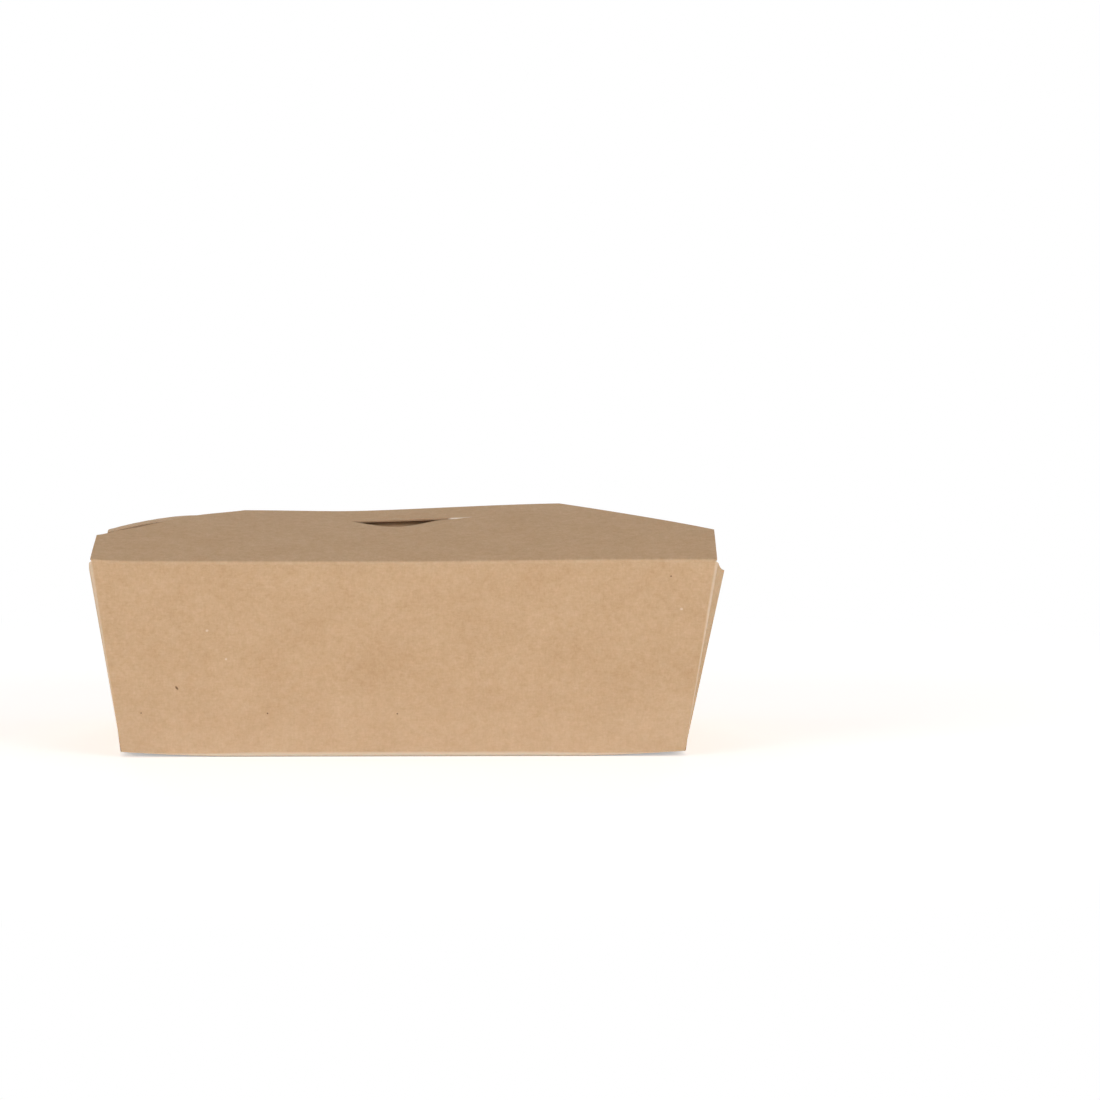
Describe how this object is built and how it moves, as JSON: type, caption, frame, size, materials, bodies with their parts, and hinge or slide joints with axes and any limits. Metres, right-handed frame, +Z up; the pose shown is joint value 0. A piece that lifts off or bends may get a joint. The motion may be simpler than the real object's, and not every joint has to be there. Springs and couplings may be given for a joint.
{
  "type": "kraft food carton",
  "caption": "Folded kraft board food carton with flared walls, outside corner webs and a slit top flap that swings open.",
  "frame": {"origin": "middle of the carton's underside", "axes": "+X along the long side, -Y out of the front wall, +Z up"},
  "size_m": [0.2204, 0.16, 0.083],
  "materials": {
    "kraft_board": "matt kraft board"
  },
  "bodies": {
    "carton": {"carton_body": "kraft_board"},
    "top_flap": {"front_flap": "kraft_board"}
  },
  "joints": [
    {"name": "front_flap_hinge", "type": "hinge", "parent": "carton", "child": "top_flap", "pos_m": [0, -0.0796, 0.0686], "axis": [1, 0, 0], "range_deg": [0, 180]}
  ]
}
